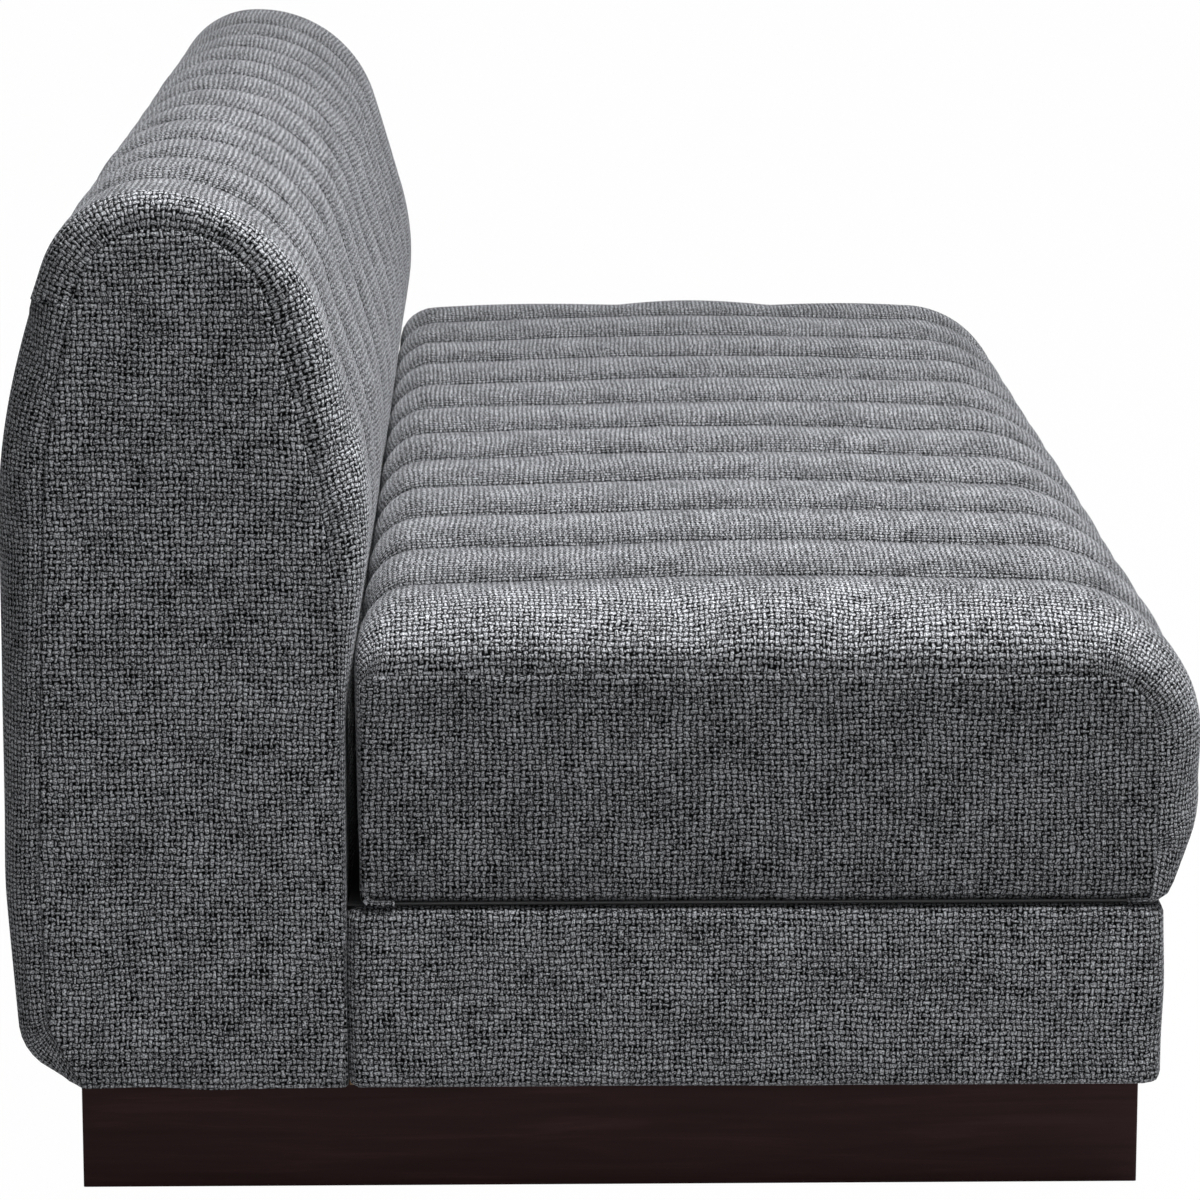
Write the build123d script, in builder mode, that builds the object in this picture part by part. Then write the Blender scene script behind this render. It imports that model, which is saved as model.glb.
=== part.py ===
"""Armless modular sofa: a plinth, a sprung base, a channelled back and a loose channelled seat cushion.

Millimetres. X runs along the length, -Y is the seat front and +Z is up.
The origin lies on the floor, below the middle of the sofa.
"""

import math
import os

from build123d import *

os.makedirs("parts", exist_ok=True)

# Overall sizes
length = 1727.0
depth = 921.0
height = 784.0
plinth_top = 90.0
base_top = 234.0
seat_top = 471.0
clearance = 0.3
end = length / 2
rear_face = depth / 2
front_face = -depth / 2

# Sewn channels, the same on the seat and on the back
channel_count = 12
channel_pitch = length / channel_count
groove_depth = 10.0
least_radius = 2.0
cover_wall = 14.0

# Plinth
plinth_end_setback = 25.0
plinth_front_setback = 41.0
plinth_rear_setback = 56.0
plinth_board = 18.0
plinth_edge_radius = 2.0
brace_x = 280.0
block_leg = 70.0
glide_height = 3.0
glide_radius = 14.0
dust_cover_thickness = 1.0

plinth_x = end - plinth_end_setback
plinth_inner_x = plinth_x - plinth_board
plinth_front_y = front_face + plinth_front_setback
plinth_rear_y = rear_face - plinth_rear_setback
plinth_inner_front_y = plinth_front_y + plinth_board
plinth_inner_rear_y = plinth_rear_y - plinth_board
dust_cover_bottom = plinth_top - dust_cover_thickness
brace_top = dust_cover_bottom - clearance

# Long screws from the plinth braces up into the base stretchers
screw_radius = 2.5
screw_hole_radius = 2.6
screw_head_radius = 5.0
screw_head_height = 3.0
screw_recess_radius = 6.0
screw_seat_drop = 40.0
screw_length = 80.0
screw_tip_room = 2.0
screw_front_y = -250.0
screw_rear_y = 100.0
screw_seat_z = plinth_top - screw_seat_drop

# Base frame, its springs and its covers
back_thickness = 265.0
base_front_setback = 25.5
base_cover = 8.0
base_cover_radius = 6.0
rail = 22.0
deck_depth = 22.0
stretcher_height = 80.0
base_block_leg = 90.0
base_block_height = 100.0
spring_count = 12
spring_wire_radius = 2.0
spring_half_straight = 10.0
spring_wanted_pitch = 36.0
clip_height = 8.0
clip_width = 18.0
clip_depth = 16.0
deck_cover = 5.0

base_front_y = front_face + base_front_setback
base_rear_y = rear_face - back_thickness - clearance
rail_top = base_top - deck_depth
frame_x = end - base_cover
frame_inner_x = frame_x - rail
frame_front_y = base_front_y + base_cover
frame_inner_front_y = frame_front_y + rail
frame_inner_rear_y = base_rear_y - rail
stretcher_top = plinth_top + stretcher_height
clip_top = rail_top + clip_height
spring_z = rail_top + clip_height / 2
felt_bottom = clip_top + clearance
felt_top = base_top - deck_cover

# Threaded inserts under the end rails, for joining the next module
insert_radius = 6.0
insert_bore_radius = 4.0
insert_length = 20.0
insert_hole_room = 0.1
insert_spacing = 400.0
insert_middle_y = -120.0
insert_edge = 8.5
insert_x = frame_x - insert_edge

# Back outline: distances forward from the rear face, rises above the plinth, drops below the crest,
# and a lumbar swell that starts below the seat top and stands out most above it
lumbar_start_drop = 87.0
lumbar_lift = 40.0
lumbar_bulge = 22.0
crest_front = 222.0
crest_rear = 54.0
rear_shoulder_drop = 191.0
rear_belly_rise = 165.0
rear_heel_inset = 12.0
rear_heel_rise = 28.0
back_roll = 33.0
back_foot_radius = 3.0
lumbar_start_radius = 300.0
lumbar_radius = 350.0
crest_front_radius = 120.0
crest_rear_radius = 80.0
rear_shoulder_radius = 700.0
rear_belly_radius = 600.0
rear_heel_radius = 45.0
rear_seam_drop = 82.0

lumbar_start_z = seat_top - lumbar_start_drop
lumbar_z = seat_top + lumbar_lift

# Back frame
rib = 18.0
rib_front = 229.0
rib_top_drop = 85.0
rib_top_front = 167.0
rib_top_rear = 55.0
rib_heel_room = 6.0
rear_board = 4.0
rear_board_rise = 192.0
rear_board_shoulder_gap = 104.0
lower_rail_height = 122.0
foam_rise = 92.0
top_rail_height = 22.0
top_rail_front = 150.0
top_rail_rear = 64.0
strap_width = 50.0
strap_thickness = 2.5
strap_wanted_pitch = 68.0

rib_top = height - rib_top_drop
rear_board_bottom = plinth_top + rear_board_rise
rear_board_top = height - rear_shoulder_drop - rear_board_shoulder_gap
lower_rail_top = plinth_top + lower_rail_height
foam_bottom = base_top + foam_rise

# Bolts between the base and the back
bolt_radius = 4.0
bolt_hole_radius = 4.5
bolt_head_radius = 7.5
bolt_head_height = 5.3
bolt_reach = 8.0
bolt_rise = 59.0
bolt_block_gap = 53.5
bolt_stretcher_gap = 80.0
washer_radius = 9.0
washer_thickness = 1.6
tee_flange_radius = 11.0
tee_flange = 2.0
tee_barrel_radius = 5.5
tee_barrel_length = 14.0
tee_bore_radius = 4.2
tee_hole_radius = 5.7

bolt_z = plinth_top + bolt_rise
bolt_outer_x = frame_inner_x - base_block_leg - bolt_block_gap
bolt_inner_x = brace_x - bolt_stretcher_gap
bolt_xs = (-bolt_outer_x, -bolt_inner_x, bolt_inner_x, bolt_outer_x)

# Seat cushion outline
cushion_gap = 12.0
cushion_edge_drop = 10.0
cushion_crown_from_rear = 590.0
cushion_nose_rise = 68.0
cushion_foot_setback = 25.0
cushion_front_setback = 8.0
cushion_nose_reach = 0.8
cushion_roll = 40.0
cushion_bottom_panel = 4.0
cushion_foot_rear_radius = 12.0
cushion_rear_radius = 55.0
cushion_crown_radius = 3000.0
cushion_front_radius = 106.0
cushion_nose_radius = 90.0
cushion_foot_radius = 8.0


def from_rear(distance):
    """Y of a point that lies this far in front of the rear face."""
    return rear_face - distance


def save(piece, name):
    """Label a finished piece and write it as one STEP file."""
    piece.part.label = name
    export_step(piece.part, f"parts/{name}.step")


def board(low, high, mode=Mode.ADD):
    """A straight board between two opposite corners."""
    size = [top - bottom for bottom, top in zip(low, high)]
    middle = [(top + bottom) / 2 for bottom, top in zip(low, high)]
    with Locations(Vector(*middle)):
        Box(*size, mode=mode)


def rod_along_y(x, y_from, y_to, z, radius, mode=Mode.ADD):
    """A round rod or hole along Y."""
    with Locations((x, (y_from + y_to) / 2, z)):
        Cylinder(radius, abs(y_to - y_from), rotation=(90, 0, 0), mode=mode)


def rod_along_z(x, y, z_from, z_to, radius, mode=Mode.ADD):
    """A round rod or hole along Z."""
    with Locations((x, y, (z_from + z_to) / 2)):
        Cylinder(radius, z_to - z_from, mode=mode)


def inset_outline(corners, insets):
    """Move each edge of a closed outline inward by its own inset.

    A corner is (y, z, radius), and insets[i] belongs to the edge that leaves corner i.
    Returns the moved points and the radii that keep the round corners parallel.
    """
    points = [Vector(y, z) for y, z, radius in corners]
    following = points[1:] + points[:1]
    turn = math.copysign(1, sum(a.cross(b).Z for a, b in zip(points, following)))
    along = [(b - a).normalized() for a, b in zip(points, following)]
    inward = [Vector(-step.Y, step.X) * turn for step in along]
    moved = []
    radii = []
    for i, (point, corner) in enumerate(zip(points, corners)):
        before, after = inward[i - 1], inward[i]
        shift_before, shift_after = insets[i - 1], insets[i]
        cosine = before.dot(after)
        share_before = (shift_before - shift_after * cosine) / (1 - cosine**2)
        share_after = (shift_after - shift_before * cosine) / (1 - cosine**2)
        moved.append(point + before * share_before + after * share_after)
        outward = math.copysign(1, before.cross(after).Z) * turn
        radii.append(max(corner[2] - outward * (shift_before + shift_after) / 2, least_radius))
    return moved, radii


def outline_face(x, corners, insets):
    """The inset outline as a face across the length at x."""
    points, radii = inset_outline(corners, insets)
    with BuildSketch(Plane.YZ.offset(x)) as outline:
        with BuildLine():
            FilletPolyline(*points, radius=radii, close=True)
        make_face()
    return outline.sketch


def outline_block(x_from, x_to, corners, insets, mode=Mode.ADD):
    """The inset outline run along the length between two places."""
    extrude(outline_face(x_from, corners, insets), amount=x_to - x_from, dir=(1, 0, 0), mode=mode)


def channel_arcs(roll, groove):
    """The crowns of the channels between the two end rolls, one arc from groove to groove."""
    crown = end - roll
    first = end - channel_pitch
    middle = (crown + first) / 2
    ThreePointArc((-crown, 0), (-middle, groove / 4), (-first, groove))
    for i in range(1, channel_count - 1):
        seam = -end + i * channel_pitch
        ThreePointArc((seam, groove), (seam + channel_pitch / 2, 0), (seam + channel_pitch, groove))
    ThreePointArc((first, groove), (middle, groove / 4), (crown, 0))


def cover_section(plane, roll, groove):
    """Cross-section of a quilted cover, across the length and in from the outer face.

    The ends roll over in a quarter round down to the seam of the end panel. The inner face is flat.
    """
    inner_end = end - cover_wall
    inner_roll = roll - cover_wall
    with BuildSketch(plane) as section:
        with BuildLine():
            Line((-inner_end, roll), (-end, roll))
            RadiusArc((-end, roll), (-end + roll, 0), -roll)
            if groove:
                channel_arcs(roll, groove)
            else:
                Line((-end + roll, 0), (end - roll, 0))
            RadiusArc((end - roll, 0), (end, roll), -roll)
            Line((end, roll), (inner_end, roll))
            RadiusArc((inner_end, roll), (end - roll, cover_wall), inner_roll)
            Line((end - roll, cover_wall), (-end + roll, cover_wall))
            RadiusArc((-end + roll, cover_wall), (-inner_end, roll), inner_roll)
        make_face()
    return section.sketch


def quilted_cover(corners, x_way, roll, groove):
    """A cover that follows a path of straight and round stretches round the padding.

    The path's first and last corners are its ends, and their radii are left unused.
    """
    points = [(y, z) for y, z, radius in corners]
    radii = [radius for y, z, radius in corners[1:-1]]
    with BuildLine(Plane.YZ) as path:
        FilletPolyline(*points, radius=radii)
    start = Plane(path.line @ 0, x_dir=x_way, z_dir=path.line % 0)
    sweep(cover_section(start, roll, groove), path=path.line)


# Plinth boards: the end boards run the whole depth, the long boards stand between them
for name, side in (("plinth_left_board", -1), ("plinth_right_board", 1)):
    inner, outer = sorted((side * plinth_inner_x, side * plinth_x))
    with BuildPart() as plinth_end_board:
        board((inner, plinth_front_y, glide_height), (outer, plinth_rear_y, plinth_top))
        outer_face = plinth_end_board.faces().sort_by(Axis.X)[0 if side < 0 else -1]
        fillet(outer_face.edges().filter_by(Axis.Z), plinth_edge_radius)
    save(plinth_end_board, name)

for name, low_y in (("plinth_front_board", plinth_front_y), ("plinth_rear_board", plinth_inner_rear_y)):
    with BuildPart() as plinth_long_board:
        board(
            (-plinth_inner_x, low_y, glide_height),
            (plinth_inner_x, low_y + plinth_board, plinth_top),
        )
    save(plinth_long_board, name)

screw_places = [(side * brace_x, y) for side in (-1, 1) for y in (screw_front_y, screw_rear_y)]
screw_top = screw_seat_z + screw_length

with BuildPart() as plinth_braces:
    for side in (-1, 1):
        board(
            (side * brace_x - plinth_board / 2, plinth_inner_front_y, glide_height),
            (side * brace_x + plinth_board / 2, plinth_inner_rear_y, brace_top),
        )
    for x, y in screw_places:
        rod_along_z(x, y, 0, screw_seat_z, screw_recess_radius, Mode.SUBTRACT)
        rod_along_z(x, y, screw_seat_z, plinth_top, screw_hole_radius, Mode.SUBTRACT)
save(plinth_braces, "plinth_braces")

# Three-cornered glue blocks stand in the plinth's corners and beside the braces, each on a glide
block_corners = []
for side in (-1, 1):
    for y, inward in ((plinth_inner_front_y, 1), (plinth_inner_rear_y, -1)):
        block_corners.append((side * plinth_inner_x, y, -side, inward))
        block_corners.append((side * (brace_x + plinth_board / 2), y, side, inward))

with BuildPart() as plinth_corner_blocks:
    with BuildSketch(Plane.XY.offset(glide_height)):
        for x, y, x_way, y_way in block_corners:
            with BuildLine():
                Polyline((x, y), (x + x_way * block_leg, y), (x, y + y_way * block_leg), close=True)
            make_face()
    extrude(amount=brace_top - glide_height)
save(plinth_corner_blocks, "plinth_corner_blocks")

glide_inset = block_leg * (1 - math.sqrt(0.5))
with BuildPart() as floor_glides:
    for x, y, x_way, y_way in block_corners:
        rod_along_z(x + x_way * glide_inset, y + y_way * glide_inset, 0, glide_height, glide_radius)
save(floor_glides, "floor_glides")

with BuildPart() as plinth_screws:
    for x, y in screw_places:
        rod_along_z(x, y, screw_seat_z - screw_head_height, screw_seat_z, screw_head_radius)
        rod_along_z(x, y, screw_seat_z, screw_top, screw_radius)
save(plinth_screws, "plinth_screws")

with BuildPart() as dust_cover:
    board(
        (-plinth_inner_x + clearance, plinth_inner_front_y + clearance, dust_cover_bottom),
        (plinth_inner_x - clearance, plinth_inner_rear_y - clearance, plinth_top),
    )
    for x, y in screw_places:
        rod_along_z(x, y, dust_cover_bottom, plinth_top, screw_hole_radius, Mode.SUBTRACT)
save(dust_cover, "dust_cover")

# Base frame: the long rails run the whole length, the end rails and stretchers stand between them
with BuildPart() as base_front_rail:
    board((-frame_x, frame_front_y, plinth_top), (frame_x, frame_inner_front_y, rail_top))
save(base_front_rail, "base_front_rail")

with BuildPart() as base_rear_rail:
    board((-frame_x, frame_inner_rear_y, plinth_top), (frame_x, base_rear_y, rail_top))
    for x in bolt_xs:
        rod_along_y(x, frame_inner_rear_y, base_rear_y, bolt_z, bolt_hole_radius, Mode.SUBTRACT)
save(base_rear_rail, "base_rear_rail")

insert_ys = [insert_middle_y - insert_spacing / 2, insert_middle_y + insert_spacing / 2]
insert_hole_radius = insert_radius + insert_hole_room
for name, side in (("base_left_rail", -1), ("base_right_rail", 1)):
    inner, outer = sorted((side * frame_inner_x, side * frame_x))
    with BuildPart() as base_end_rail:
        board((inner, frame_inner_front_y, plinth_top), (outer, frame_inner_rear_y, rail_top))
        for y in insert_ys:
            top = plinth_top + insert_length
            rod_along_z(side * insert_x, y, plinth_top, top, insert_hole_radius, Mode.SUBTRACT)
    save(base_end_rail, name)

with BuildPart() as joining_inserts:
    for side in (-1, 1):
        for y in insert_ys:
            top = plinth_top + insert_length
            rod_along_z(side * insert_x, y, plinth_top, top, insert_radius)
            rod_along_z(side * insert_x, y, plinth_top, top, insert_bore_radius, Mode.SUBTRACT)
save(joining_inserts, "joining_inserts")

with BuildPart() as base_stretchers:
    for side in (-1, 1):
        board(
            (side * brace_x - rail / 2, frame_inner_front_y, plinth_top),
            (side * brace_x + rail / 2, frame_inner_rear_y, stretcher_top),
        )
    for x, y in screw_places:
        rod_along_z(x, y, plinth_top, screw_top + screw_tip_room, screw_hole_radius, Mode.SUBTRACT)
save(base_stretchers, "base_stretchers")

with BuildPart() as base_corner_blocks:
    with BuildSketch(Plane.XY.offset(plinth_top)):
        for side in (-1, 1):
            for y, inward in ((frame_inner_front_y, 1), (frame_inner_rear_y, -1)):
                x = side * frame_inner_x
                with BuildLine():
                    Polyline(
                        (x, y),
                        (x - side * base_block_leg, y),
                        (x, y + inward * base_block_leg),
                        close=True,
                    )
                make_face()
    extrude(amount=base_block_height)
save(base_corner_blocks, "base_corner_blocks")

# Zigzag springs span from the front rail to the rear rail, held at both ends by clips
spring_front_y = frame_front_y + rail / 2
spring_rear_y = base_rear_y - rail / 2
spring_bends = round((spring_rear_y - spring_front_y) / spring_wanted_pitch)
spring_pitch = (spring_rear_y - spring_front_y) / spring_bends
spring_room = 2 * frame_inner_x / spring_count
spring_xs = [-frame_inner_x + (i + 0.5) * spring_room for i in range(spring_count)]

with BuildPart() as one_spring:
    with BuildLine(Plane.XY.offset(spring_z)) as zigzag:
        side = 1
        for i in range(spring_bends + 1):
            y = spring_front_y + i * spring_pitch
            Line((-side * spring_half_straight, y), (side * spring_half_straight, y))
            if i < spring_bends:
                tip = side * (spring_half_straight + spring_pitch / 2)
                ThreePointArc(
                    (side * spring_half_straight, y),
                    (tip, y + spring_pitch / 2),
                    (side * spring_half_straight, y + spring_pitch),
                )
            side = -side
    with BuildSketch(Plane(zigzag.line @ 0, z_dir=zigzag.line % 0)):
        Circle(spring_wire_radius)
    sweep()

with BuildPart() as seat_springs:
    with Locations([(x, 0, 0) for x in spring_xs]):
        add(one_spring.part)
save(seat_springs, "seat_springs")

for name, y in (("front_spring_clips", spring_front_y), ("rear_spring_clips", spring_rear_y)):
    with BuildPart() as spring_clips:
        with Locations([(x, y, spring_z) for x in spring_xs]):
            Box(clip_width, clip_depth, clip_height)
            Cylinder(
                spring_wire_radius + clearance,
                clip_width,
                rotation=(0, 90, 0),
                mode=Mode.SUBTRACT,
            )
    save(spring_clips, name)

with BuildPart() as deck_felt:
    board(
        (-frame_x + clearance, frame_front_y + clearance, felt_bottom),
        (frame_x - clearance, base_rear_y, felt_top),
    )
save(deck_felt, "deck_felt")

with BuildPart() as deck_cloth:
    board((-frame_x, frame_front_y, felt_top), (frame_x, base_rear_y, base_top))
save(deck_cloth, "deck_cloth")

# Padded covers of the base: the end covers run to the front, the front cover stands between them
for name, side in (("base_left_cover", -1), ("base_right_cover", 1)):
    inner, outer = sorted((side * frame_x, side * end))
    with BuildPart() as base_end_cover:
        board((inner, base_front_y, plinth_top), (outer, base_rear_y, base_top))
        outer_face = base_end_cover.faces().sort_by(Axis.X)[0 if side < 0 else -1]
        fillet(outer_face.edges().filter_by(Axis.Y), base_cover_radius)
    save(base_end_cover, name)

with BuildPart() as base_front_cover:
    board((-frame_x, base_front_y, plinth_top), (frame_x, frame_front_y, base_top))
    front = base_front_cover.faces().sort_by(Axis.Y)[0]
    fillet(front.edges().filter_by(Axis.X), base_cover_radius)
save(base_front_cover, "base_front_cover")

# Back: outer outline, its cover and its end panels
back_corners = [
    (from_rear(back_thickness), plinth_top, back_foot_radius),
    (from_rear(back_thickness), lumbar_start_z, lumbar_start_radius),
    (from_rear(back_thickness + lumbar_bulge), lumbar_z, lumbar_radius),
    (from_rear(crest_front), height, crest_front_radius),
    (from_rear(crest_rear), height, crest_rear_radius),
    (from_rear(0), height - rear_shoulder_drop, rear_shoulder_radius),
    (from_rear(0), plinth_top + rear_belly_rise, rear_belly_radius),
    (from_rear(rear_heel_inset), plinth_top + rear_heel_rise, rear_heel_radius),
    (from_rear(plinth_rear_setback), plinth_top, back_foot_radius),
]
back_seam = (
    from_rear(crest_rear * (1 - rear_seam_drop / rear_shoulder_drop)),
    height - rear_seam_drop,
    0,
)
back_core = [cover_wall + clearance] * 8 + [0.0]
panel_x = end - cover_wall
core_x = end - back_roll - clearance
heel = Vector(*back_corners[7][:2])
foot = Vector(*back_corners[8][:2])
foot_way = (foot - heel).normalized()
foot_in = Vector(foot_way.Y, -foot_way.X)

with BuildPart() as back_channel_cover:
    quilted_cover(back_corners[:5] + [back_seam], (1, 0, 0), back_roll, groove_depth)
    for x in bolt_xs:
        rod_along_y(
            x,
            from_rear(back_thickness),
            from_rear(back_thickness - cover_wall),
            bolt_z,
            bolt_hole_radius,
            Mode.SUBTRACT,
        )
save(back_channel_cover, "back_channel_cover")

with BuildPart() as back_rear_panel:
    quilted_cover([back_seam] + back_corners[5:], (1, 0, 0), back_roll, 0)
save(back_rear_panel, "back_rear_panel")


def back_end_block(x_from, x_to, inset):
    """The back's outline inside the rolled edges, with the corner beyond the rear panel's foot filled in."""
    outline_block(x_from, x_to, back_corners, [inset] * 8 + [0.0])
    start = foot - Vector(clearance, 0)
    with BuildSketch(Plane.YZ.offset(x_from)) as corner:
        with BuildLine():
            Polyline(start, start + foot_in * inset, start - Vector(2 * inset, 0), close=True)
        make_face()
    extrude(corner.sketch, amount=x_to - x_from, dir=(1, 0, 0))


for name, x in (("back_left_panel", -end), ("back_right_panel", panel_x)):
    with BuildPart() as back_end_panel:
        back_end_block(x, x + cover_wall, back_roll + clearance)
    save(back_end_panel, name)

for name, x in (("back_left_pad", -panel_x + clearance), ("back_right_pad", core_x + clearance)):
    with BuildPart() as back_end_pad:
        back_end_block(x, x + panel_x - core_x - 2 * clearance, back_roll + 2 * clearance)
    save(back_end_pad, name)

# Back frame: ribs with rails between them, a board behind and straps across the front
rear_board_face = cover_wall + clearance
rib_rear = rear_board_face + rear_board
rail_front = back_thickness - cover_wall - clearance
rail_back = rail_front - rail
rib_inset = cover_wall + clearance + rib_heel_room
rib_heel = inset_outline(back_corners, [rib_inset] * 8 + [0.0])[0][7]
rib_foot = foot + foot_in * rib_inset
rib_points = [
    (rib_foot.X, plinth_top),
    (from_rear(rail_front), plinth_top),
    (from_rear(rail_front), foam_bottom - clearance),
    (from_rear(rib_front), foam_bottom - clearance),
    (from_rear(rib_front), lumbar_z),
    (from_rear(rib_top_front), rib_top),
    (from_rear(rib_top_rear), rib_top),
    (from_rear(rib_rear), rear_board_top),
    (from_rear(rib_rear), rear_board_bottom),
    (rib_heel.X, rib_heel.Y),
    (rib_foot.X, rib_foot.Y),
]
rib_x = core_x
rib_inner_x = rib_x - rib


def rib_face(x):
    """The outline of one plywood rib as a face across the length at x."""
    with BuildSketch(Plane.YZ.offset(x)) as rib_outline:
        with BuildLine():
            Polyline(*rib_points, close=True)
        make_face()
    return rib_outline.sketch


for name, x in (("back_left_rib", -rib_x), ("back_right_rib", rib_inner_x)):
    with BuildPart() as back_end_rib:
        extrude(rib_face(x), amount=rib, dir=(1, 0, 0))
    save(back_end_rib, name)

with BuildPart() as back_middle_ribs:
    for side in (-1, 1):
        extrude(rib_face(side * brace_x - rib / 2), amount=rib, dir=(1, 0, 0))
    board(
        (-end, from_rear(back_thickness), plinth_top),
        (end, from_rear(rail_back), lower_rail_top),
        Mode.SUBTRACT,
    )
    board(
        (-end, rib_foot.X - rail, plinth_top),
        (end, rear_face, lower_rail_top),
        Mode.SUBTRACT,
    )
    board((-end, front_face, rib_top - top_rail_height), (end, rear_face, rib_top), Mode.SUBTRACT)
save(back_middle_ribs, "back_middle_ribs")

with BuildPart() as back_lower_front_rail:
    board(
        (-rib_inner_x, from_rear(rail_front), plinth_top),
        (rib_inner_x, from_rear(rail_back), lower_rail_top),
    )
    for x in bolt_xs:
        tee_end = from_rear(rail_back + tee_barrel_length)
        rod_along_y(x, from_rear(rail_back), tee_end, bolt_z, tee_hole_radius, Mode.SUBTRACT)
        rod_along_y(x, tee_end, from_rear(rail_front), bolt_z, bolt_hole_radius, Mode.SUBTRACT)
save(back_lower_front_rail, "back_lower_front_rail")

with BuildPart() as back_lower_rear_rail:
    board(
        (-rib_inner_x, rib_foot.X - rail, plinth_top),
        (rib_inner_x, rib_foot.X, lower_rail_top),
    )
save(back_lower_rear_rail, "back_lower_rear_rail")

with BuildPart() as back_top_rail:
    board(
        (-rib_inner_x, from_rear(top_rail_front), rib_top - top_rail_height),
        (rib_inner_x, from_rear(top_rail_rear), rib_top),
    )
save(back_top_rail, "back_top_rail")

with BuildPart() as back_rear_board:
    board(
        (-rib_x, from_rear(rib_rear), rear_board_bottom),
        (rib_x, from_rear(rear_board_face), rear_board_top),
    )
save(back_rear_board, "back_rear_board")

# Straps lie across the sloping front edges of the ribs
slope_start = Vector(from_rear(rib_front), lumbar_z)
slope = Vector(from_rear(rib_top_front), rib_top) - slope_start
slope_way = slope.normalized()
slope_out = Vector(-slope_way.Y, slope_way.X)
strap_out = slope_out * strap_thickness
strap_count = round(slope.length / strap_wanted_pitch)

with BuildPart() as back_straps:
    with BuildSketch(Plane.YZ.offset(-rib_x)):
        for i in range(strap_count):
            middle = slope_start + slope * ((i + 0.5) / strap_count)
            low = middle - slope_way * (strap_width / 2)
            high = middle + slope_way * (strap_width / 2)
            with BuildLine():
                Polyline(low, high, high + strap_out, low + strap_out, close=True)
            make_face()
    extrude(amount=2 * rib_x)
save(back_straps, "back_straps")

foam_out = slope_out * (strap_thickness + clearance)
foam_low = slope_start + foam_out
foam_high = foam_low + slope
foam_step = from_rear(rib_front + strap_thickness + clearance)
with BuildPart() as back_foam:
    outline_block(-rib_x, rib_x, back_corners, back_core)
    with BuildSketch(Plane.YZ.offset(-end)):
        with BuildLine():
            Polyline(
                (rear_face, plinth_top),
                (from_rear(back_thickness), plinth_top),
                (from_rear(back_thickness), foam_bottom),
                (foam_step, foam_bottom),
                foam_low,
                foam_high,
                (foam_high.X, rib_top + clearance),
                (rear_face, rib_top + clearance),
                close=True,
            )
        make_face()
    extrude(amount=length, mode=Mode.SUBTRACT)
save(back_foam, "back_foam")

# Bolts from inside the base, through both rear rails, into tee nuts in the back
with BuildPart() as back_bolts:
    for x in bolt_xs:
        head_y = frame_inner_rear_y - washer_thickness
        with BuildSketch(Plane.XZ.offset(-head_y)):
            with Locations((x, bolt_z)):
                RegularPolygon(bolt_head_radius, 6)
        extrude(amount=bolt_head_height)
        rod_along_y(x, head_y, from_rear(rail_back - bolt_reach), bolt_z, bolt_radius)
save(back_bolts, "back_bolts")

with BuildPart() as bolt_washers:
    for x in bolt_xs:
        washer_y = frame_inner_rear_y - washer_thickness
        rod_along_y(x, washer_y, frame_inner_rear_y, bolt_z, washer_radius)
        rod_along_y(x, washer_y, frame_inner_rear_y, bolt_z, bolt_hole_radius, Mode.SUBTRACT)
save(bolt_washers, "bolt_washers")

with BuildPart() as tee_nuts:
    for x in bolt_xs:
        flange_y = from_rear(rail_back - tee_flange)
        barrel_y = from_rear(rail_back + tee_barrel_length)
        rod_along_y(x, flange_y, from_rear(rail_back), bolt_z, tee_flange_radius)
        rod_along_y(x, from_rear(rail_back), barrel_y, bolt_z, tee_barrel_radius)
        rod_along_y(x, flange_y, barrel_y, bolt_z, tee_bore_radius, Mode.SUBTRACT)
save(tee_nuts, "tee_nuts")

# Seat cushion: loose on the deck, clear of the back
cushion_bottom = base_top + clearance
cushion_rear = back_thickness + cushion_gap
cushion_nose_z = base_top + cushion_nose_rise
cushion_corners = [
    (from_rear(cushion_rear), cushion_bottom, cushion_foot_rear_radius),
    (from_rear(cushion_rear), seat_top - cushion_edge_drop, cushion_rear_radius),
    (from_rear(cushion_crown_from_rear), seat_top, cushion_crown_radius),
    (front_face + cushion_front_setback, seat_top - cushion_edge_drop, cushion_front_radius),
    (front_face - cushion_nose_reach, cushion_nose_z, cushion_nose_radius),
    (front_face + cushion_foot_setback, cushion_bottom, cushion_foot_radius),
]
cushion_panel_top = cushion_bottom + cushion_bottom_panel
foot_share = cushion_bottom_panel / (cushion_nose_z - cushion_bottom)
cushion_path = [
    (from_rear(cushion_rear), cushion_panel_top, 0),
    *cushion_corners[1:5],
    (front_face + cushion_foot_setback * (1 - foot_share), cushion_panel_top, 0),
]
cushion_panel = [cushion_roll + clearance] * 5 + [cushion_bottom_panel + clearance]
cushion_core = [cover_wall + clearance] * 5 + [cushion_bottom_panel + clearance]
cushion_core_x = end - cushion_roll - clearance

with BuildPart() as seat_channel_cover:
    quilted_cover(cushion_path, (-1, 0, 0), cushion_roll, groove_depth)
save(seat_channel_cover, "seat_channel_cover")

with BuildPart() as seat_bottom_panel:
    board(
        (-end, front_face + cushion_foot_setback, cushion_bottom),
        (end, from_rear(cushion_rear), cushion_panel_top),
    )
save(seat_bottom_panel, "seat_bottom_panel")

for name, x in (("seat_left_panel", -end), ("seat_right_panel", panel_x)):
    with BuildPart() as seat_end_panel:
        outline_block(x, x + cover_wall, cushion_corners, cushion_panel)
    save(seat_end_panel, name)

with BuildPart() as seat_foam:
    outline_block(-cushion_core_x, cushion_core_x, cushion_corners, cushion_core)
    outline_block(-panel_x + clearance, panel_x - clearance, cushion_corners, cushion_panel)
save(seat_foam, "seat_foam")
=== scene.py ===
import math

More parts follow.
